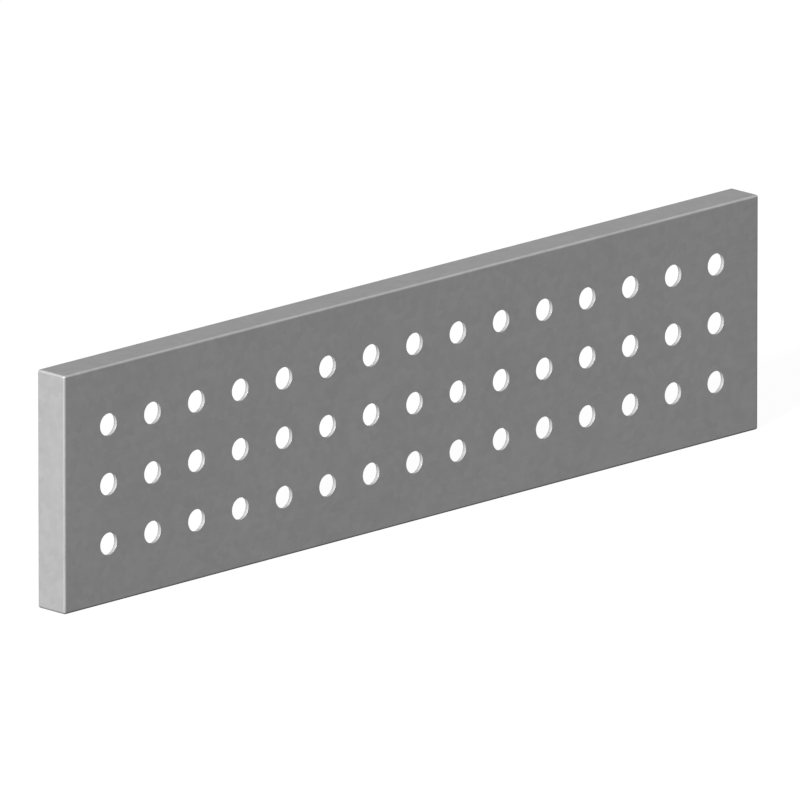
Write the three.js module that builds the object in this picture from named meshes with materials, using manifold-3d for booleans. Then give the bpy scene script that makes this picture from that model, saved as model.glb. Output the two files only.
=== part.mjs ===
// Scaffold plank: a perforated steel channel, open at the back and closed at the ends, standing on a long side.
// Millimetres. +X runs along the plank, -Y points out of the deck face, +Z is up across the plank's width.
// The origin is the middle of the long side that the plank stands on.

import * as THREE from "three";
import { mergeVertices } from "three/addons/utils/BufferGeometryUtils.js";
import Module from "manifold-3d";

const wasm = await Module();
wasm.setup();

// ---- Driving dimensions ----

const LENGTH = 1000;
const WIDTH = 250;
const DEPTH = 39; // deck face to back plane
const SHEET = 1.5; // thickness of every folded piece
const BEND_RADIUS = 2.5; // outside radius of every bend, and of the dressed end welds

const HOLE_COLUMNS = 15;
const HOLE_ROWS = 3;
const HOLE_PITCH = WIDTH / (HOLE_ROWS + 1); // the outer holes are one pitch in from the edges
const HOLE_RADIUS = 11.7;
const LAND_DEPTH = 2.7; // the straight part of a hole's wall, behind the deck face
const COLLAR_DEPTH = 6; // deck face to the tip of the flared collar
const FLARE_ANGLE = THREE.MathUtils.degToRad(29.5);
const COLLAR_WALL = 1.2; // thinned by drawing

const LIP_WIDTH = 25; // back lip of the channel, along each long side
const LIP_RETURN = 10; // stiffening fold at the lip's free edge, back plane to its own edge
const CAP_LIP = 10; // back lip of an end cap

const RIB_CENTRE = 2.5 * HOLE_PITCH; // midway between two columns of holes, on each side of the middle
const RIB_WIDTH = 30; // over both brims
const RIB_CROWN = 12;
const RIB_DEPTH = 15; // deck face to the outside of the crown
const RIB_BEAD = 3; // leg of the fillet weld round a rib's end

const BEND_SEGMENTS = 6; // facets in a quarter turn
const HOLE_SEGMENTS = 16;
const CUT_MARGIN = 1; // how far a cutting solid runs past what it cuts

// ---- Planes that the pieces share ----

const END = LENGTH / 2;
const FRONT = -DEPTH / 2; // deck face
const BACK = DEPTH / 2;
const MID_RADIUS = BEND_RADIUS - SHEET / 2;
const CHANNEL_END = END - BEND_RADIUS; // the channel stops short of the end by the weld's radius
const SIDES = [["left", -1], ["right", 1]];
const EDGES = [["bottom", 0, 1], ["top", WIDTH, -1]]; // name, height of the long side, direction inwards

// ---- Solids ----

/** A closed geometry as a solid, without the triangles that collapse on a lathe's axis. */
function toSolid(geometry) {
  geometry.deleteAttribute("normal");
  geometry.deleteAttribute("uv");
  const merged = mergeVertices(geometry);
  const index = merged.index.array;
  const triangles = [];
  for (let i = 0; i < index.length; i += 3) {
    const [a, b, c] = index.slice(i, i + 3);
    if (a !== b && b !== c && c !== a) {
      triangles.push(a, b, c);
    }
  }
  const mesh = new wasm.Mesh({
    numProp: 3,
    vertProperties: new Float32Array(merged.attributes.position.array),
    triVerts: new Uint32Array(triangles),
  });
  return new wasm.Manifold(mesh);
}

/** A solid as a geometry, with flat facets. */
function toGeometry(solid) {
  const { vertProperties, triVerts } = solid.getMesh();
  const indexed = new THREE.BufferGeometry();
  indexed.setAttribute("position", new THREE.BufferAttribute(vertProperties, 3));
  indexed.setIndex(new THREE.BufferAttribute(triVerts, 1));
  const geometry = indexed.toNonIndexed();
  geometry.computeVertexNormals();
  return geometry;
}

/** An axis-aligned block between two corners, given in any order. */
function block(cornerA, cornerB) {
  const box = new THREE.Box3().setFromPoints([new THREE.Vector3(...cornerA), new THREE.Vector3(...cornerB)]);
  const size = box.getSize(new THREE.Vector3());
  const centre = box.getCenter(new THREE.Vector3());
  return toSolid(new THREE.BoxGeometry(size.x, size.y, size.z).translate(centre.x, centre.y, centre.z));
}

/** An outline of (x, y) points, extruded upwards between two heights. */
function extrudeUp(outline, low, high) {
  const options = { depth: high - low, bevelEnabled: false };
  const geometry = new THREE.ExtrudeGeometry(new THREE.Shape(outline), options);
  return toSolid(geometry.translate(0, 0, low));
}

/** An outline of (y, z) points, extruded along the plank between two stations. */
function extrudeAlong(outline, from, to) {
  const start = Math.min(from, to);
  const options = { depth: Math.abs(to - from), bevelEnabled: false };
  const geometry = new THREE.ExtrudeGeometry(new THREE.Shape(outline), options);
  const turn = new THREE.Matrix4().makeBasis(
    new THREE.Vector3(0, 1, 0),
    new THREE.Vector3(0, 0, 1),
    new THREE.Vector3(1, 0, 0),
  );
  return toSolid(geometry.applyMatrix4(turn).translate(start, 0, 0));
}

/** The points of a quarter circle, from one unit direction to another at right angles to it. */
function quarterArc(centre, radius, fromDirection, toDirection) {
  const points = [];
  for (let step = 0; step <= BEND_SEGMENTS; step += 1) {
    const angle = (Math.PI / 2) * (step / BEND_SEGMENTS);
    const point = centre.clone();
    point.addScaledVector(fromDirection, radius * Math.cos(angle));
    point.addScaledVector(toDirection, radius * Math.sin(angle));
    points.push(point);
  }
  return points;
}

/** The closed outline of a sheet folded square at each inner corner of its mid-thickness line. */
function foldedOutline(line) {
  const corners = line.map(([x, y]) => new THREE.Vector2(x, y));
  const leftFace = [];
  const rightFace = [];
  corners.forEach((corner, i) => {
    const arriving = i > 0 ? corner.clone().sub(corners[i - 1]).normalize() : null;
    const leaving = i < corners.length - 1 ? corners[i + 1].clone().sub(corner).normalize() : null;
    if (!arriving || !leaving) {
      const along = arriving ?? leaving;
      const toLeft = new THREE.Vector2(-along.y, along.x);
      leftFace.push(corner.clone().addScaledVector(toLeft, SHEET / 2));
      rightFace.push(corner.clone().addScaledVector(toLeft, -SHEET / 2));
      return;
    }
    const centre = corner.clone().addScaledVector(arriving, -MID_RADIUS).addScaledVector(leaving, MID_RADIUS);
    const outwards = leaving.clone().negate();
    const inside = quarterArc(centre, MID_RADIUS - SHEET / 2, outwards, arriving);
    const outside = quarterArc(centre, MID_RADIUS + SHEET / 2, outwards, arriving);
    const turnsLeft = arriving.cross(leaving) > 0;
    leftFace.push(...(turnsLeft ? inside : outside));
    rightFace.push(...(turnsLeft ? outside : inside));
  });
  return [...leftFace, ...rightFace.reverse()];
}

// ---- Deck channel ----

/** A solid turned about a hole's axis, from (radius, y) points that start and end on the axis. */
function turned(profile, x, z) {
  const points = profile.map(([radius, y]) => new THREE.Vector2(radius, y));
  return toSolid(new THREE.LatheGeometry(points, HOLE_SEGMENTS).translate(x, 0, z));
}

/** The roll-formed channel: deck, two long sides, and a back lip with a stiffening fold on each. */
function deckChannel() {
  const deckLine = FRONT + SHEET / 2;
  const lipLine = BACK - SHEET / 2;
  const foldEdge = BACK - LIP_RETURN;
  const section = foldedOutline([
    [foldEdge, LIP_WIDTH - SHEET / 2],
    [lipLine, LIP_WIDTH - SHEET / 2],
    [lipLine, SHEET / 2],
    [deckLine, SHEET / 2],
    [deckLine, WIDTH - SHEET / 2],
    [lipLine, WIDTH - SHEET / 2],
    [lipLine, WIDTH - LIP_WIDTH + SHEET / 2],
    [foldEdge, WIDTH - LIP_WIDTH + SHEET / 2],
  ]);
  const landEnd = FRONT + LAND_DEPTH;
  const tip = FRONT + COLLAR_DEPTH;
  const flare = (depth) => depth * Math.tan(FLARE_ANGLE);
  const tipRadius = HOLE_RADIUS + flare(COLLAR_DEPTH - LAND_DEPTH);
  const collar = [
    [0, FRONT + SHEET / 2],
    [HOLE_RADIUS + COLLAR_WALL, FRONT + SHEET / 2],
    [HOLE_RADIUS + COLLAR_WALL, landEnd],
    [tipRadius + COLLAR_WALL, tip],
    [0, tip],
  ];
  const opening = [
    [0, FRONT - CUT_MARGIN],
    [HOLE_RADIUS, FRONT - CUT_MARGIN],
    [HOLE_RADIUS, landEnd],
    [tipRadius + flare(CUT_MARGIN), tip + CUT_MARGIN],
    [0, tip + CUT_MARGIN],
  ];
  const collars = [];
  const openings = [];
  for (let column = 0; column < HOLE_COLUMNS; column += 1) {
    for (let row = 0; row < HOLE_ROWS; row += 1) {
      const x = (column - (HOLE_COLUMNS - 1) / 2) * HOLE_PITCH;
      const z = (row + 1) * HOLE_PITCH;
      collars.push(turned(collar, x, z));
      openings.push(turned(opening, x, z));
    }
  }
  return extrudeAlong(section, -CHANNEL_END, CHANNEL_END)
    .add(wasm.Manifold.union(collars))
    .subtract(wasm.Manifold.union(openings));
}

// ---- End caps and the welds round them ----

/** A pressed end: the end face, folded at the back into a lip that fits between the channel's lips. */
function endCap(side) {
  const faceLine = side * (END - SHEET / 2);
  const section = foldedOutline([
    [faceLine, FRONT + BEND_RADIUS],
    [faceLine, BACK - SHEET / 2],
    [side * (END - CAP_LIP), BACK - SHEET / 2],
  ]);
  const pressing = extrudeUp(section, BEND_RADIUS, WIDTH - BEND_RADIUS);
  const notches = EDGES.map(([, edge, inwards]) => block(
    [side * CHANNEL_END, FRONT, edge],
    [side * (END - CAP_LIP - CUT_MARGIN), BACK + CUT_MARGIN, edge + inwards * LIP_WIDTH],
  ));
  return notches.reduce((cap, notch) => cap.subtract(notch), pressing);
}

/** The weld that fills the open corner between channel and cap, dressed to a round edge and round corners. */
function endWeld(side) {
  const nearFront = FRONT + BEND_RADIUS;
  const nearBack = BACK - BEND_RADIUS;
  const around = 4 * BEND_SEGMENTS;
  const round = (length) => new THREE.CylinderGeometry(BEND_RADIUS, BEND_RADIUS, length, around);
  const ball = () => new THREE.SphereGeometry(BEND_RADIUS, around, 2 * BEND_SEGMENTS);
  const x = side * CHANNEL_END;
  const deckEdge = round(WIDTH - 2 * BEND_RADIUS).rotateX(Math.PI / 2).translate(x, nearFront, WIDTH / 2);
  const rounds = [toSolid(deckEdge)];
  for (const [, edge, inwards] of EDGES) {
    const z = edge + inwards * BEND_RADIUS;
    rounds.push(toSolid(round(nearBack - nearFront).translate(x, 0, z)));
    rounds.push(toSolid(ball().translate(x, nearFront, z)));
    rounds.push(toSolid(ball().translate(x, nearBack, z)));
  }
  const outerSlab = block(
    [x, FRONT - CUT_MARGIN, -CUT_MARGIN],
    [side * (END + CUT_MARGIN), BACK, WIDTH + CUT_MARGIN],
  );
  const capPlace = block(
    [side * (CHANNEL_END - CUT_MARGIN), nearFront, BEND_RADIUS],
    [side * (END + 2 * CUT_MARGIN), BACK + CUT_MARGIN, WIDTH - BEND_RADIUS],
  );
  return wasm.Manifold.union(rounds).intersect(outerSlab).subtract(capPlace);
}

/** The weld in the groove between a cap's lip and the rounded edge of the channel's lip. */
function lipWeld(side, edge, inwards) {
  const lipEdge = edge + inwards * LIP_WIDTH;
  const centre = new THREE.Vector2(BACK - BEND_RADIUS, lipEdge - inwards * BEND_RADIUS);
  const bend = quarterArc(centre, BEND_RADIUS, new THREE.Vector2(1, 0), new THREE.Vector2(0, inwards));
  const section = [new THREE.Vector2(BACK, lipEdge), ...bend];
  return extrudeAlong(section, side * (END - CAP_LIP), side * CHANNEL_END);
}

// ---- Ribs and their welds ----

/** A top-hat rib behind the deck, from one long side to the other, clear of the channel's bends. */
function rib(centre) {
  const brimLine = FRONT + SHEET + SHEET / 2;
  const crownLine = FRONT + RIB_DEPTH - SHEET / 2;
  const webLine = (RIB_CROWN - SHEET) / 2;
  const section = foldedOutline([
    [centre - RIB_WIDTH / 2, brimLine],
    [centre - webLine, brimLine],
    [centre - webLine, crownLine],
    [centre + webLine, crownLine],
    [centre + webLine, brimLine],
    [centre + RIB_WIDTH / 2, brimLine],
  ]);
  return extrudeUp(section, BEND_RADIUS, WIDTH - BEND_RADIUS);
}

/** The fillet weld round the crown of a rib, where it meets a long side. */
function ribWeld(centre, edge, inwards) {
  const brimTop = FRONT + 2 * SHEET;
  const crownTop = FRONT + RIB_DEPTH;
  const hat = new THREE.Shape([
    new THREE.Vector2(centre - RIB_CROWN / 2, brimTop),
    new THREE.Vector2(centre + RIB_CROWN / 2, brimTop),
    new THREE.Vector2(centre + RIB_CROWN / 2, crownTop),
    new THREE.Vector2(centre - RIB_CROWN / 2, crownTop),
  ]);
  const options = { depth: SHEET, bevelThickness: RIB_BEAD, bevelSize: RIB_BEAD, bevelSegments: 1 };
  const wall = edge + inwards * SHEET;
  const tapered = new THREE.ExtrudeGeometry(hat, options).translate(0, 0, wall - (inwards > 0 ? SHEET : 0));
  const reach = RIB_CROWN / 2 + RIB_BEAD + CUT_MARGIN;
  const place = block(
    [centre - reach, brimTop + BEND_RADIUS, wall],
    [centre + reach, crownTop + RIB_BEAD + CUT_MARGIN, wall + inwards * RIB_BEAD],
  );
  const hatPlace = block(
    [centre - RIB_CROWN / 2, brimTop - CUT_MARGIN, wall - inwards * CUT_MARGIN],
    [centre + RIB_CROWN / 2, crownTop, wall + inwards * (RIB_BEAD + CUT_MARGIN)],
  );
  return toSolid(tapered).intersect(place).subtract(hatPlace);
}

// ---- Materials and assembly ----

function galvanisedSheet() {
  return new THREE.MeshStandardMaterial({ color: 0xa9abac, roughness: 0.55, metalness: 0.35 });
}

function weldMetal() {
  return new THREE.MeshStandardMaterial({ color: 0x9c9e9f, roughness: 0.65, metalness: 0.35 });
}

const plank = new THREE.Group();

function addPiece(name, solid, material) {
  const mesh = new THREE.Mesh(toGeometry(solid), material);
  mesh.name = name;
  plank.add(mesh);
}

addPiece("deck_channel", deckChannel(), galvanisedSheet());
for (const [sideName, side] of SIDES) {
  addPiece(`end_cap_${sideName}`, endCap(side), galvanisedSheet());
  addPiece(`end_weld_${sideName}`, endWeld(side), weldMetal());
  addPiece(`rib_${sideName}`, rib(side * RIB_CENTRE), galvanisedSheet());
  for (const [edgeName, edge, inwards] of EDGES) {
    addPiece(`lip_weld_${sideName}_${edgeName}`, lipWeld(side, edge, inwards), weldMetal());
    addPiece(`rib_weld_${sideName}_${edgeName}`, ribWeld(side * RIB_CENTRE, edge, inwards), weldMetal());
  }
}

export default plank;
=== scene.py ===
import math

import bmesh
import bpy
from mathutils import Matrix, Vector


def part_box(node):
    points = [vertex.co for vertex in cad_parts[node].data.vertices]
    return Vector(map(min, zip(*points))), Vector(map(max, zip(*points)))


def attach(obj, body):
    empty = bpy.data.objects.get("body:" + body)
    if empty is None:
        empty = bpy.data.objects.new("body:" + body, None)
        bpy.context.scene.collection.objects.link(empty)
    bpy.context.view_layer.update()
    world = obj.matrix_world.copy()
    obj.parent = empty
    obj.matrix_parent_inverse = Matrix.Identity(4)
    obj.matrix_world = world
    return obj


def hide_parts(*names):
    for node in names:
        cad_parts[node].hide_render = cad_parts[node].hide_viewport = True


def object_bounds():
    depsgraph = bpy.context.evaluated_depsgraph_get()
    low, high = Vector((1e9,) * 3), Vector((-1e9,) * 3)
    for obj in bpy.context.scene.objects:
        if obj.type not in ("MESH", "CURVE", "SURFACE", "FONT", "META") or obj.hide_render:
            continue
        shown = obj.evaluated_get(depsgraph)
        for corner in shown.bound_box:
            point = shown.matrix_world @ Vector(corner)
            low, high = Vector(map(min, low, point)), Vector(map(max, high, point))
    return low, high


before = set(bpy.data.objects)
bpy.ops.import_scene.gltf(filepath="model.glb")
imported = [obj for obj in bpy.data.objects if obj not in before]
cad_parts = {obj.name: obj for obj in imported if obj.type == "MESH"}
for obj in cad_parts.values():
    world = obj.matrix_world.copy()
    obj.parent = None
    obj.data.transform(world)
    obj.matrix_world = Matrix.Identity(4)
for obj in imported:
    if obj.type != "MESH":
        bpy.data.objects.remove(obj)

# Scaffold plank: the folded, perforated channel, its end caps, ribs and welds, as fine meshes that take the
# places of the CAD nodes. Metres. +X runs along the plank, -Y points out of the deck face, and +Z is up,
# across the plank's width.

CAD_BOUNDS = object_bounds()
MM = 0.001

# ---- Dimensions that the frame gives ----

DECK_LOW, DECK_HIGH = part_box("deck_channel")
FRONT = DECK_LOW.y  # deck face
BACK = DECK_HIGH.y
WIDTH = DECK_HIGH.z
CHANNEL_END = DECK_HIGH.x
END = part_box("end_cap_right")[1].x
BEND = END - CHANNEL_END  # outside radius of every bend and of the dressed end welds
CAP_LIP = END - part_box("end_cap_right")[0].x
RIB_LOW, RIB_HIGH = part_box("rib_right")
RIB_WIDTH = RIB_HIGH.x - RIB_LOW.x
RIB_TOP = RIB_HIGH.y  # outside of a rib's crown
SHEET = RIB_LOW.y - FRONT  # the rib lies on the back of the deck sheet
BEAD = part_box("rib_weld_right_bottom")[1].z - SHEET

# ---- Dimensions that it doesn't give ----

HOLE_COLUMNS = 15
HOLE_ROWS = 3
PITCH = WIDTH / (HOLE_ROWS + 1)
HOLE_RADIUS = 11.7 * MM
LAND_DEPTH = 2.7 * MM  # straight part of a hole's wall
COLLAR_DEPTH = 6 * MM
FLARE = math.tan(math.radians(29.5))
COLLAR_WALL = 1.2 * MM
LIP = 25 * MM
LIP_RETURN = 10 * MM
RIB_CROWN = 12 * MM
INNER_BEND = BEND - SHEET
SHEARED = 0.3 * MM  # rounding of a sheet's cut edge
HOLD = 0.15 * MM  # how close a flat face's last loop lies to a bend
SPOT_RADIUS = 2.8 * MM  # electrode marks of the spot welds along a rib's brims
SPOT_DEPTH = 0.4 * MM
RIPPLE = 1.4 * MM  # spacing of the ripples along a weld bead
FINE = 0.6 * MM  # longest mesh edge along a rib's outline and over its spot welds
LIP_RIPPLE_DEPTH = 0.25 * MM
LIP_BEAD_CROWN = 0.1 * MM  # how far a lip weld falls away at both sides
LIP_BEAD_ROOT = 0.4 * MM  # how far a lip weld's hidden side sinks into the bend that it lies on
RIB_RIPPLE_DEPTH = 0.35 * MM
BEAD_BULGE = 0.35  # how far a fillet weld swells, as a share of its leg
TOUCHING = MM / 1000  # points this close are one point
SHARP_ANGLE = 35  # degrees; edges turning further than this stay crisp
BEAD_SHARP_ANGLE = 50

HOLE_SIDES = 40  # a multiple of eight, so that some points lie on the cell's corners
BEND_STEPS = 10
SMALL_STEPS = 4
LIP_BEAD_STEPS = 8  # across the bead
RIB_BEAD_STEPS = 6
SIDES = [("left", -1), ("right", 1)]
EDGES = [("bottom", 0, 1), ("top", WIDTH, -1)]  # name, height of the long side, direction inwards

# ---- Looks ----

METALLIC = 0.35
SHEET_GREY = 0.345
WELD_GREY = 0.325
WALL_GREY = 0.46
EDGE_POLISH_AND_HIGHLIGHT = 0.28  # how much brighter a fully worn edge is, as wear and as a painted highlight
LONG_EDGE_WEAR_AND_HIGHLIGHT = 1.9  # wear and painted highlight along the top's long edges, compared with the edges at the ends
BOTTOM_EDGE_BRIGHTNESS = 0.65  # brightness of the edges that the plank stands on
SHEET_RELIEF = 0.02 * MM
WALL_RELIEF = 0.01 * MM
SPANGLE_DRIFT = 0.004  # how far the spangles' edges wander

# ---- Light and camera ----

KEY = (-1.82, -0.55, 0.78)
KEY_SPREAD = 8  # degrees
BACK_FILL = (0.30, 0.75, 0.06)
BACK_FILL_SPREAD = 50
SKY = 0.25
FLOOR_HALF = 120
FLOOR_BOUNCE = 0.15  # how much of its light the floor throws back
FLOOR_SHADE = 0.06  # how much of the floor's white a shadow can take away
FLOOR_SHADE_LIT = 0.7  # share of that white which the lamps give back in the open
CAMERA_AZIMUTH = -45
CAMERA_ELEVATION = 15.35
CAMERA_LENS = 1700  # long enough to draw the plank almost without perspective
SENSOR = 36
VIEW_WIDTH = 0.8152  # what the picture takes in across the plank's middle
AIM_LEFT = 1.0 * MM  # with AIM_LOW, shares what perspective is left between the middle and the ends
AIM_LOW = 0.4 * MM


# ---- Outlines ----

def rounded(corners, hold=HOLD):
    """Points along (x, y, radius, steps) corners, each an arc with a point held close on both sides."""
    points = []
    for i, (x, y, radius, steps) in enumerate(corners):
        corner = Vector((x, y))
        if radius == 0:
            points.append(corner)
            continue
        arriving = (corner - Vector(corners[i - 1][:2])).normalized()
        leaving = (Vector(corners[(i + 1) % len(corners)][:2]) - corner).normalized()
        turn = arriving.angle_signed(leaving)
        cut = radius * math.tan(abs(turn) / 2)
        start = corner - arriving * cut
        side = 1 if arriving.cross(leaving) > 0 else -1
        centre = start + Vector((-arriving.y, arriving.x)) * (radius * side)
        points.append(start - arriving * hold)
        for step in range(steps + 1):
            angle = side * abs(turn) * step / steps
            spoke = start - centre
            points.append(centre + Vector((
                spoke.x * math.cos(angle) - spoke.y * math.sin(angle),
                spoke.x * math.sin(angle) + spoke.y * math.cos(angle),
            )))
        points.append(corner + leaving * (cut + hold))
    return points


def divided(points, longest=FINE):
    """A closed outline whose segments are split to at most the given length."""
    finer = []
    for start, end in zip(points, points[1:] + points[:1]):
        pieces = max(1, math.ceil((end - start).length / longest))
        finer += [start.lerp(end, k / pieces) for k in range(pieces)]
    return finer


def smooth_step(low, high, value):
    share = min(1, max(0, (value - low) / (high - low)))
    return share * share * (3 - 2 * share)


# ---- Meshes ----

class Shell:
    """A closed mesh gathered as grids and polygons, whose coinciding points are merged at the end."""

    def __init__(self):
        self.points = []
        self.faces = []
        self.face_materials = []

    def add_face(self, corners, material):
        self.faces.append(corners)
        self.face_materials.append(material)

    def grid(self, rows, closed=False, material=0):
        """Four-sided faces between successive rows of equally many points."""
        first = len(self.points)
        count = len(rows[0])
        for row in rows:
            self.points.extend(row)
        spans = count if closed else count - 1
        for r in range(len(rows) - 1):
            for c in range(spans):
                here = first + r * count + c
                across = first + r * count + (c + 1) % count
                self.add_face((here, across, across + count, here + count), material)

    def polygon(self, outline):
        first = len(self.points)
        self.points.extend(outline)
        self.add_face(tuple(range(first, first + len(outline))), 0)

    def bar(self, loops):
        """A solid swept through closed loops, with flat ends."""
        self.grid(loops, closed=True)
        self.polygon(loops[0])
        self.polygon(loops[-1])

    def build(self, name, materials, sharp=SHARP_ANGLE):
        """The finished object: merged, facing outwards, and smooth but for edges sharper than the angle."""
        mesh = bpy.data.meshes.new(name)
        mesh.from_pydata([tuple(p) for p in self.points], [], self.faces)
        for polygon, material in zip(mesh.polygons, self.face_materials):
            polygon.material_index = material
        work = bmesh.new()
        work.from_mesh(mesh)
        bmesh.ops.remove_doubles(work, verts=work.verts, dist=TOUCHING)
        bmesh.ops.dissolve_degenerate(work, edges=work.edges, dist=MM / 10000)
        bmesh.ops.recalc_face_normals(work, faces=work.faces)
        for face in work.faces:
            face.smooth = True
        if any(not edge.is_manifold for edge in work.edges):
            raise ValueError(f"{name} isn't closed")
        work.to_mesh(mesh)
        work.free()
        mesh.set_sharp_from_angle(angle=math.radians(sharp))
        for material in materials:
            mesh.materials.append(material)
        piece = bpy.data.objects.new(name, mesh)
        bpy.context.scene.collection.objects.link(piece)
        return piece


def stand_for(piece, node):
    """The piece takes the place of a CAD node."""
    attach(piece, "root")
    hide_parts(node)


# ---- Deck channel ----

def hole_wall():
    """(radius, y) points of a hole's wall, from the deck face over the collar's tip to the sheet's back."""
    land_end = FRONT + LAND_DEPTH
    tip = FRONT + COLLAR_DEPTH
    tip_radius = HOLE_RADIUS + (COLLAR_DEPTH - LAND_DEPTH) * FLARE
    reach = 2 * MM  # flat ring round the hole on both faces of the sheet
    return rounded([
        (HOLE_RADIUS + reach, FRONT, 0, 0),
        (HOLE_RADIUS, FRONT, 0.2 * MM, 3),
        (HOLE_RADIUS, land_end, 1.0 * MM, 3),
        (tip_radius, tip, 0.5 * MM, 3),
        (tip_radius + COLLAR_WALL, tip, 0.5 * MM, 3),
        (HOLE_RADIUS + COLLAR_WALL, land_end, 0.6 * MM, 2),
        (HOLE_RADIUS + COLLAR_WALL, FRONT + SHEET, 0.7 * MM, 3),
        (HOLE_RADIUS + COLLAR_WALL + reach, FRONT + SHEET, 0, 0),
    ], hold=HOLD / 2)


def cell_stations():
    """Distances along a cell's side, from its middle, at which the spokes from the hole meet it."""
    per_side = HOLE_SIDES // 4
    angles = [math.pi / 2 * (k / per_side - 0.5) for k in range(per_side + 1)]
    return [PITCH / 2 * math.tan(a) for a in angles]


def hole_cell(shell, x, z, wall):
    """One square of the deck with its hole. The punched wall, from rim to tip, is burnished."""
    directions = [2 * math.pi * k / HOLE_SIDES for k in range(HOLE_SIDES)]

    def square(y):
        points = []
        for a in directions:
            reach = PITCH / 2 / max(abs(math.cos(a)), abs(math.sin(a)))
            points.append((x + reach * math.cos(a), y, z + reach * math.sin(a)))
        return points

    def ring(radius, y):
        return [(x + radius * math.cos(a), y, z + radius * math.sin(a)) for a in directions]

    rings = [ring(radius, y) for radius, y in wall]
    rim = next(k for k, point in enumerate(wall) if point[1] > FRONT)
    tip = next(k for k, point in enumerate(wall) if point[1] > FRONT + COLLAR_DEPTH - TOUCHING)
    shell.grid([square(FRONT)] + rings[:rim + 1], closed=True)
    shell.grid(rings[rim:tip + 1], closed=True, material=1)
    shell.grid(rings[tip:] + [square(FRONT + SHEET)], closed=True)


def side_section(z_start):
    """(y, z) points round the bottom long side, from the deck's face to its back, both at z_start."""
    fold_edge = BACK - LIP_RETURN
    return rounded([
        (FRONT, z_start, 0, 0),
        (FRONT, 0, BEND, BEND_STEPS),
        (BACK, 0, BEND, BEND_STEPS),
        (BACK, LIP, BEND, BEND_STEPS),
        (fold_edge, LIP, SHEARED, SMALL_STEPS),
        (fold_edge, LIP - SHEET, SHEARED, SMALL_STEPS),
        (BACK - SHEET, LIP - SHEET, INNER_BEND, SMALL_STEPS),
        (BACK - SHEET, SHEET, INNER_BEND, SMALL_STEPS),
        (FRONT + SHEET, SHEET, INNER_BEND, SMALL_STEPS),
        (FRONT + SHEET, z_start, 0, 0),
    ])


def build_deck_channel(sheet, burnished):
    shell = Shell()
    wall = hole_wall()
    columns = [(i - (HOLE_COLUMNS - 1) / 2) * PITCH for i in range(HOLE_COLUMNS)]
    rows = [(j + 1) * PITCH for j in range(HOLE_ROWS)]
    for x in columns:
        for z in rows:
            hole_cell(shell, x, z, wall)

    offsets = cell_stations()
    x_stations = [-CHANNEL_END] + [x + d for x in columns for d in offsets[:-1]]
    x_stations += [columns[-1] + PITCH / 2, CHANNEL_END]
    z_stations = [z + d for z in rows for d in offsets[:-1]] + [rows[-1] + PITCH / 2]

    section = side_section(PITCH / 2)
    for _, edge, inwards in EDGES:
        shell.grid([[(x, y, edge + inwards * z) for y, z in section] for x in x_stations])
        for x in (-CHANNEL_END, CHANNEL_END):
            shell.polygon([(x, y, edge + inwards * z) for y, z in section])
    for _, side in SIDES:
        near = side * (columns[-1] + PITCH / 2)
        far = side * CHANNEL_END
        corners = [(near, FRONT), (far, FRONT), (far, FRONT + SHEET), (near, FRONT + SHEET)]
        shell.grid([[(x, y, z) for z in z_stations] for x, y in corners])
    piece = shell.build("deck_channel_sheet", [sheet, burnished])
    stand_for(piece, "deck_channel")


# ---- End caps and the welds round them ----

def build_end_cap(name, side, material):
    """The pressed end: its face, the bend at the back, and the lip between the channel's own lips."""
    near_front = FRONT + BEND
    lip_line = BACK - SHEET
    inside = rounded([
        (CHANNEL_END, lip_line, 0, 0),
        (END - SHEET, lip_line, INNER_BEND, SMALL_STEPS),
        (END - SHEET, near_front, 0, 0),
    ], hold=0)
    outside = rounded([
        (END, near_front, 0, 0),
        (END, BACK, BEND, BEND_STEPS),
        (CHANNEL_END, BACK, 0, 0),
    ], hold=0)
    lip = rounded([
        (CHANNEL_END, BACK, 0, 0),
        (END - CAP_LIP, BACK, SHEARED, SMALL_STEPS),
        (END - CAP_LIP, lip_line, SHEARED, SMALL_STEPS),
        (CHANNEL_END, lip_line, 0, 0),
    ])
    shell = Shell()

    def place(outline, z):
        return [(side * x, y, z) for x, y in outline]

    heights = [BEND, LIP, WIDTH - LIP, WIDTH - BEND]
    face = inside + outside
    shell.grid([place(face, z) for z in heights])
    shell.polygon(place(face, heights[0]))
    shell.polygon(place(face, heights[-1]))
    for low, high in (heights[:2], heights[2:]):
        shell.grid([place([lip[0], lip[-1]], z) for z in (low, high)])
    shell.grid([place(lip, z) for z in heights[1:3]])
    for z in heights[1:3]:
        shell.polygon(place(lip, z))
    piece = shell.build(f"end_cap_pressing_{name}", [material])
    stand_for(piece, f"end_cap_{name}")


def quarter_turn(centre, start, end):
    """(centre, outward direction) stations that turn in place from one direction to another."""
    angles = [math.pi / 2 * k / BEND_STEPS for k in range(BEND_STEPS + 1)]
    return [(centre, start * math.cos(a) + end * math.sin(a)) for a in angles]


def build_end_weld(name, side, material):
    """The dressed weld round three edges of an end: a quarter round that turns a ball at each corner."""
    low_back = Vector((BACK - BEND, BEND))
    low_front = Vector((FRONT + BEND, BEND))
    high_front = Vector((FRONT + BEND, WIDTH - BEND))
    high_back = Vector((BACK - BEND, WIDTH - BEND))
    backwards, forwards = Vector((1, 0)), Vector((-1, 0))
    down, up = Vector((0, -1)), Vector((0, 1))
    stations = quarter_turn(low_back, backwards, down) + quarter_turn(low_front, down, forwards)
    stations += quarter_turn(high_front, forwards, up) + quarter_turn(high_back, up, backwards)
    loops = []
    for centre, outward in stations:
        loop = [(side * CHANNEL_END, *centre)]
        for step in range(BEND_STEPS + 1):
            angle = math.pi / 2 * step / BEND_STEPS
            reach = centre + outward * (BEND * math.cos(angle))
            loop.append((side * (CHANNEL_END + BEND * math.sin(angle)), *reach))
        loops.append(loop)
    shell = Shell()
    shell.bar(loops)
    piece = shell.build(f"end_weld_dressed_{name}", [material])
    stand_for(piece, f"end_weld_{name}")


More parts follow.
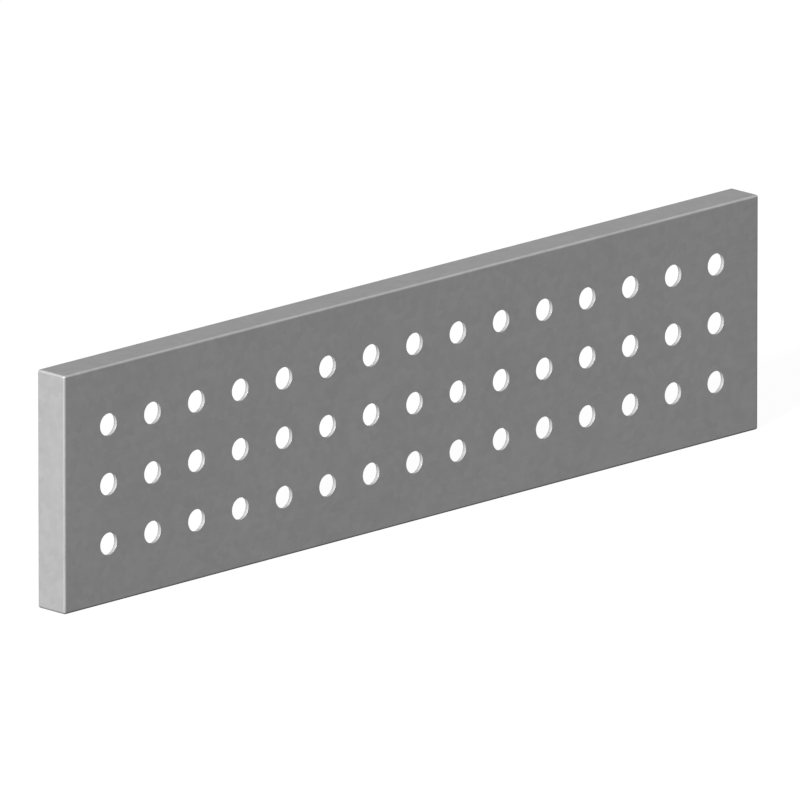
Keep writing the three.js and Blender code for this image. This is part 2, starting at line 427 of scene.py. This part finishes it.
def ripple(distance, height):
    """How far a bead's surface sinks between two of its ripples."""
    return height * (0.5 - 0.5 * math.cos(2 * math.pi * distance / RIPPLE))


def build_lip_weld(name, side, edge_name, edge, inwards, material):
    """The rippled weld in the groove between the cap's lip and the rounded edge of the channel's lip."""
    lip_edge = edge + inwards * LIP
    root_steps = SMALL_STEPS * 2
    steps = math.ceil((CAP_LIP - BEND) / (RIPPLE / 8))
    loops = []
    for step in range(steps + 1):
        along = (CAP_LIP - BEND) * step / steps
        x = side * (END - CAP_LIP + along)
        sunk = ripple(along, LIP_RIPPLE_DEPTH)
        loop = []
        for k in range(LIP_BEAD_STEPS + 1):
            share = k / LIP_BEAD_STEPS
            edge_fall = LIP_BEAD_CROWN * (2 * share - 1) ** 2
            loop.append((x, BACK - edge_fall - sunk, lip_edge - inwards * BEND * (1 - share)))
        for k in range(root_steps, 0, -1):
            angle = math.pi / 2 * k / root_steps
            y = BACK - BEND + BEND * math.cos(angle) - LIP_BEAD_ROOT * math.cos(angle)
            loop.append((x, y, lip_edge - inwards * BEND * (1 - math.sin(angle))))
        loops.append(loop)
    shell = Shell()
    shell.bar(loops)
    piece = shell.build(f"lip_weld_bead_{name}_{edge_name}", [material], sharp=BEAD_SHARP_ANGLE)
    stand_for(piece, f"lip_weld_{name}_{edge_name}")


# ---- Ribs and their welds ----

def spot_mark(x, z):
    """How deep the electrode marks are at a place on a rib's brims, with x from the rib's middle."""
    mark_line = (RIB_WIDTH / 2 + RIB_CROWN / 2 + INNER_BEND) / 2
    from_line = abs(abs(x) - mark_line)
    from_mark = min(abs(z - PITCH * (k + 0.5)) for k in range(HOLE_ROWS + 1))
    distance = math.hypot(from_line, from_mark)
    return SPOT_DEPTH * (1 - smooth_step(0.6 * SPOT_RADIUS, SPOT_RADIUS, distance))


def rib_stations():
    """Heights along a rib: close together over the spot welds, and far apart between them."""
    heights = [BEND, WIDTH - BEND]
    steps = math.ceil(SPOT_RADIUS / FINE)
    for row in range(HOLE_ROWS + 1):
        heights += [PITCH * (row + 0.5) + k * FINE for k in range(-steps, steps + 1)]
    return sorted(heights)


def build_rib(name, side, material):
    """The top-hat rib: crown, webs, and brims with spot-weld marks."""
    brim, crown, sole = RIB_LOW.y + SHEET, RIB_TOP, RIB_LOW.y
    half, web = RIB_WIDTH / 2, RIB_CROWN / 2
    section = divided(rounded([
        (-half, sole, SHEARED, SMALL_STEPS),
        (-half, brim, SHEARED, SMALL_STEPS),
        (-web, brim, INNER_BEND, SMALL_STEPS),
        (-web, crown, BEND, BEND_STEPS),
        (web, crown, BEND, BEND_STEPS),
        (web, brim, INNER_BEND, SMALL_STEPS),
        (half, brim, SHEARED, SMALL_STEPS),
        (half, sole, SHEARED, SMALL_STEPS),
        (web - SHEET, sole, BEND, BEND_STEPS),
        (web - SHEET, crown - SHEET, INNER_BEND, SMALL_STEPS),
        (SHEET - web, crown - SHEET, INNER_BEND, SMALL_STEPS),
        (SHEET - web, sole, BEND, BEND_STEPS),
    ]))
    centre = side * (RIB_LOW.x + RIB_HIGH.x) / 2
    loops = []
    for z in rib_stations():
        loop = []
        for x, y in section:
            on_brim = abs(y - brim) < TOUCHING
            loop.append((centre + x, y - spot_mark(x, z) if on_brim else y, z))
        loops.append(loop)
    shell = Shell()
    shell.bar(loops)
    piece = shell.build(f"rib_pressing_{name}", [material])
    stand_for(piece, f"rib_{name}")


def hat_path():
    """(point, direction out of the hat) stations up one web, over the crown and down the other web."""
    web, start = RIB_CROWN / 2, RIB_LOW.y + SHEET + BEND
    path = rounded([
        (-web, start, 0, 0),
        (-web, RIB_TOP, BEND, BEND_STEPS),
        (web, RIB_TOP, BEND, BEND_STEPS),
        (web, start, 0, 0),
    ])
    points = []
    for first, second in zip(path, path[1:]):
        pieces = max(1, math.ceil((second - first).length / (RIPPLE / 6)))
        points += [first.lerp(second, k / pieces) for k in range(pieces)]
    points.append(path[-1])
    stations = []
    for i, point in enumerate(points):
        along = (points[min(i + 1, len(points) - 1)] - points[max(i - 1, 0)]).normalized()
        stations.append((point, Vector((-along.y, along.x))))
    return stations


def build_rib_weld(name, side, edge_name, edge, inwards, material):
    """The rippled fillet weld round a rib's crown, where it meets a long side."""
    centre = side * (RIB_LOW.x + RIB_HIGH.x) / 2
    wall = edge + inwards * SHEET
    travelled = 0
    previous = None
    loops = []
    for point, outward in hat_path():
        travelled += (point - previous).length if previous else 0
        previous = point
        leg = BEAD - ripple(travelled, RIB_RIPPLE_DEPTH)
        loop = [(centre + point.x, point.y, wall)]
        for k in range(RIB_BEAD_STEPS + 1):
            share = k / RIB_BEAD_STEPS
            bulge = 1 + BEAD_BULGE * math.sin(math.pi * share)
            out = outward * (leg * (1 - share) * bulge)
            z = wall + inwards * leg * share * bulge
            loop.append((centre + point.x + out.x, point.y + out.y, z))
        loops.append(loop)
    shell = Shell()
    shell.bar(loops)
    piece = shell.build(f"rib_weld_bead_{name}_{edge_name}", [material], sharp=BEAD_SHARP_ANGLE)
    stand_for(piece, f"rib_weld_{name}_{edge_name}")


# ---- Materials ----

class Finish:
    """One material's node tree, in the part's own metres."""

    def __init__(self, name):
        self.material = bpy.data.materials.new(name)
        self.material.use_nodes = True
        self.tree = self.material.node_tree
        self.shader = self.tree.nodes["Principled BSDF"]
        self.place = self.add("ShaderNodeTexCoord").outputs["Object"]

    def add(self, kind, **inputs):
        """A node whose inputs are set to values, or linked where an output is given."""
        node = self.tree.nodes.new(kind)
        for name, value in inputs.items():
            socket = node.inputs[name.replace("_", " ")]
            if isinstance(value, bpy.types.NodeSocket):
                self.tree.links.new(value, socket)
            else:
                socket.default_value = value
        return node

    def noise(self, scale, detail, stretch=(1, 1, 1)):
        """Noise of about one feature per 1/scale metres, drawn out along an axis by a stretch below 1."""
        mapping = self.add("ShaderNodeMapping", Vector=self.place, Scale=stretch)
        place = mapping.outputs["Vector"]
        return self.add("ShaderNodeTexNoise", Vector=place, Scale=scale, Detail=detail).outputs["Fac"]

    def between(self, value, low, high, start=0.3, end=0.7):
        """The value's start to end spread over low to high."""
        node = self.add("ShaderNodeMapRange", Value=value)
        for name, number in (("From Min", start), ("From Max", end), ("To Min", low), ("To Max", high)):
            node.inputs[name].default_value = number
        return node.outputs["Result"]

    def combine(self, operation, first, second):
        node = self.tree.nodes.new("ShaderNodeMath")
        node.operation = operation
        for socket, value in zip(node.inputs, (first, second)):
            if isinstance(value, bpy.types.NodeSocket):
                self.tree.links.new(value, socket)
            else:
                socket.default_value = value
        return node.outputs["Value"]

    def product(self, *values):
        result = values[0]
        for value in values[1:]:
            result = self.combine("MULTIPLY", result, value)
        return result

    def near(self, axis, plane):
        """1 at an outer plane of the part, falling to 0 a bend's radius in from it."""
        place = self.add("ShaderNodeSeparateXYZ", Vector=self.place).outputs[axis]
        away = self.combine("ABSOLUTE", self.combine("SUBTRACT", place, plane), 0)
        return self.between(away, 1, 0, 0, BEND)

    def nearest(self, axis, planes):
        return self.combine("MAXIMUM", *(self.near(axis, plane) for plane in planes))

    def edge_wear_and_highlight(self):
        """Wear and a painted highlight: about 1 along the upper bends at the ends, more along the top's long
        edges, and 0 on flat faces.
        """
        x = self.nearest("X", (-END, END))
        y = self.nearest("Y", (FRONT, BACK))
        top = self.near("Z", WIDTH)
        # painted highlight with the wear: only the top edges, where the light falls, are brightened
        long_edges = self.product(y, top, LONG_EDGE_WEAR_AND_HIGHLIGHT)
        edges = self.combine("ADD", long_edges, self.product(x, top))
        return self.product(edges, 2, self.between(self.noise(45, 4), 0.75, 1.1))

    def polish_highlight_and_bottom_tone(self, wear_and_highlight):
        """The factor that makes worn edges brighter, as wear and as a painted highlight, and the side that
        the plank stands on darker.
        """
        # painted highlight along with the wear on the top edges
        brighter = self.between(wear_and_highlight, 1, 1 + EDGE_POLISH_AND_HIGHLIGHT, 0, 1)
        brighter.node.clamp = False  # the long edges' wear and painted highlight go past 1
        # darker towards the bottom edges, which the plank stands on
        darker_below = self.between(self.near("Z", 0), 1, BOTTOM_EDGE_BRIGHTNESS, 0, 0.6)
        return self.product(brighter, darker_below)

    def link(self, output, socket):
        self.tree.links.new(output, self.shader.inputs[socket])

    def bump(self, heights, distance):
        """Relief on the surface from a height between 0 and 1."""
        node = self.add("ShaderNodeBump", Height=heights, Strength=1.0, Distance=distance)
        self.link(node.outputs["Normal"], "Normal")


def galvanised_sheet():
    """Hot-dip zinc on rolled steel: small spangles, cloudy patches, rolling streaks, and worn edges that also
    carry a painted highlight.
    """
    finish = Finish("galvanised_sheet")
    ragged = finish.add("ShaderNodeTexNoise", Vector=finish.place, Scale=220.0, Detail=3.0)
    drift = finish.add("ShaderNodeVectorMath", Vector=finish.place)
    drift.operation = "MULTIPLY_ADD"
    finish.tree.links.new(ragged.outputs["Color"], drift.inputs[0])
    drift.inputs[1].default_value = (SPANGLE_DRIFT, SPANGLE_DRIFT, SPANGLE_DRIFT)
    finish.tree.links.new(finish.place, drift.inputs[2])
    crystals = finish.add("ShaderNodeTexVoronoi", Vector=drift.outputs["Vector"], Scale=130.0)
    tone = finish.add("ShaderNodeSeparateColor", Color=crystals.outputs["Color"]).outputs["Red"]
    spangle = finish.between(tone, 0.962, 1.038, 0, 1)
    clouds = finish.between(finish.noise(11, 4), 0.98, 1.02)
    streaks = finish.between(finish.noise(260, 3, stretch=(0.02, 1, 1)), 0.985, 1.015)
    wear_and_highlight = finish.edge_wear_and_highlight()
    # the base colour carries the painted highlight on the top edges and is darker along the bottom
    grey = finish.product(spangle, clouds, streaks, finish.polish_highlight_and_bottom_tone(wear_and_highlight), SHEET_GREY)
    finish.link(grey, "Base Color")
    roughness = finish.between(finish.noise(60, 5), 0.48, 0.58)
    smoother = finish.between(wear_and_highlight, 1, 0.8, 0, 1)
    finish.link(finish.product(roughness, smoother), "Roughness")
    relief = finish.combine("ADD", finish.noise(1500, 2), finish.product(tone, 0.5))
    finish.bump(relief, SHEET_RELIEF)
    finish.shader.inputs["Metallic"].default_value = METALLIC
    return finish.material


def burnished_wall():
    """Zinc that the punch has rubbed smooth and bright, scored along the hole's axis."""
    finish = Finish("burnished_hole_wall")
    scores = finish.noise(500, 3, stretch=(1, 0.08, 1))
    clouds = finish.between(finish.noise(90, 3), 0.96, 1.04)
    grey = finish.product(finish.between(scores, 0.95, 1.05), clouds, WALL_GREY)
    finish.link(grey, "Base Color")
    finish.link(finish.between(scores, 0.36, 0.46), "Roughness")
    finish.bump(scores, WALL_RELIEF)
    finish.shader.inputs["Metallic"].default_value = METALLIC
    return finish.material


def weld_metal():
    """Dressed and zinc-sprayed weld: greyer, blotched, with fine grinding marks and pits."""
    finish = Finish("galvanised_weld")
    blotches = finish.between(finish.noise(70, 5), 0.95, 1.04)
    grinding = finish.noise(420, 4, stretch=(1, 1, 0.15))
    # painted highlight with the wear on the top edges, and darker along the bottom
    polish_highlight_and_bottom_tone = finish.polish_highlight_and_bottom_tone(finish.edge_wear_and_highlight())
    grey = finish.product(blotches, finish.between(grinding, 0.97, 1.03), polish_highlight_and_bottom_tone, WELD_GREY)
    finish.link(grey, "Base Color")
    roughness = finish.between(finish.noise(120, 4), 0.5, 0.64)
    finish.link(roughness, "Roughness")
    relief = finish.combine("ADD", grinding, finish.noise(900, 2))
    finish.bump(relief, SHEET_RELIEF)
    finish.shader.inputs["Metallic"].default_value = METALLIC
    return finish.material


# ---- Studio ----

def sun(name, towards, angle, mirrored=True):
    """A distant light. A matt white face square to it gets the radiance of the vector's length."""
    light = bpy.data.lights.new(name, "SUN")
    light.energy = math.pi * Vector(towards).length
    light.angle = math.radians(angle)
    lamp = bpy.data.objects.new(name, light)
    lamp.rotation_mode = "QUATERNION"
    lamp.rotation_quaternion = Vector(towards).to_track_quat("Z", "Y")
    lamp.visible_glossy = mirrored
    bpy.context.scene.collection.objects.link(lamp)


def build_world():
    """A soft even sky, which the camera sees as a plain white backdrop."""
    world = bpy.data.worlds.new("studio")
    world.use_nodes = True
    nodes, links = world.node_tree.nodes, world.node_tree.links
    background = nodes["Background"]
    background.inputs["Color"].default_value = (1, 1, 1, 1)
    seen = nodes.new("ShaderNodeLightPath")
    level = nodes.new("ShaderNodeMix")
    level.inputs["A"].default_value = SKY
    level.inputs["B"].default_value = 1.0
    links.new(seen.outputs["Is Camera Ray"], level.inputs["Factor"])
    links.new(level.outputs["Result"], background.inputs["Strength"])
    bpy.context.scene.world = world


def build_floor():
    """A floor that the camera sees as nearly white with a faint shadow, and that throws back little light."""
    material = bpy.data.materials.new("studio_floor")
    material.use_nodes = True
    nodes, links = material.node_tree.nodes, material.node_tree.links
    nodes.remove(nodes["Principled BSDF"])
    grey = nodes.new("ShaderNodeBsdfDiffuse")
    grey.inputs["Color"].default_value = (FLOOR_BOUNCE, FLOOR_BOUNCE, FLOOR_BOUNCE, 1)
    pale = nodes.new("ShaderNodeBsdfDiffuse")
    pale.inputs["Color"].default_value = (FLOOR_SHADE, FLOOR_SHADE, FLOOR_SHADE, 1)
    glow = nodes.new("ShaderNodeEmission")
    glow.inputs["Strength"].default_value = 1 - FLOOR_SHADE * FLOOR_SHADE_LIT
    lit = nodes.new("ShaderNodeAddShader")
    links.new(pale.outputs["BSDF"], lit.inputs[0])
    links.new(glow.outputs["Emission"], lit.inputs[1])
    seen = nodes.new("ShaderNodeLightPath")
    choice = nodes.new("ShaderNodeMixShader")
    links.new(seen.outputs["Is Camera Ray"], choice.inputs["Fac"])
    links.new(grey.outputs["BSDF"], choice.inputs[1])
    links.new(lit.outputs["Shader"], choice.inputs[2])
    links.new(choice.outputs["Shader"], nodes["Material Output"].inputs["Surface"])
    half = FLOOR_HALF
    mesh = bpy.data.meshes.new("floor")
    corners = [(-half, -half, 0), (half, -half, 0), (half, half, 0), (-half, half, 0)]
    mesh.from_pydata(corners, [], [(0, 1, 2, 3)])
    mesh.materials.append(material)
    floor = bpy.data.objects.new("floor", mesh)
    bpy.context.scene.collection.objects.link(floor)


def build_camera():
    low, high = CAD_BOUNDS
    azimuth, elevation = math.radians(CAMERA_AZIMUTH), math.radians(CAMERA_ELEVATION)
    back = Vector((
        math.sin(azimuth) * math.cos(elevation),
        -math.cos(azimuth) * math.cos(elevation),
        math.sin(elevation),
    ))
    left = Vector((-math.cos(azimuth), -math.sin(azimuth), 0))
    aim = (low + high) / 2 + left * AIM_LEFT - Vector((0, 0, AIM_LOW))
    data = bpy.data.cameras.new("camera")
    data.lens = CAMERA_LENS
    data.sensor_width = SENSOR
    distance = VIEW_WIDTH * CAMERA_LENS / SENSOR
    data.clip_end = 10 * distance
    camera = bpy.data.objects.new("camera", data)
    camera.rotation_mode = "QUATERNION"
    camera.rotation_quaternion = back.to_track_quat("Z", "Y")
    camera.location = aim + back * distance
    bpy.context.scene.collection.objects.link(camera)
    bpy.context.scene.camera = camera


# ---- Scene ----

build_camera()
bpy.context.scene.view_settings.view_transform = "Standard"
sheet = galvanised_sheet()
weld = weld_metal()
build_deck_channel(sheet, burnished_wall())
for side_name, side in SIDES:
    build_end_cap(side_name, side, sheet)
    build_end_weld(side_name, side, weld)
    build_rib(side_name, side, sheet)
    for edge_name, edge, inwards in EDGES:
        build_lip_weld(side_name, side, edge_name, edge, inwards, weld)
        build_rib_weld(side_name, side, edge_name, edge, inwards, weld)
build_world()
build_floor()
sun("key", KEY, KEY_SPREAD)
sun("back_fill", BACK_FILL, BACK_FILL_SPREAD, mirrored=False)
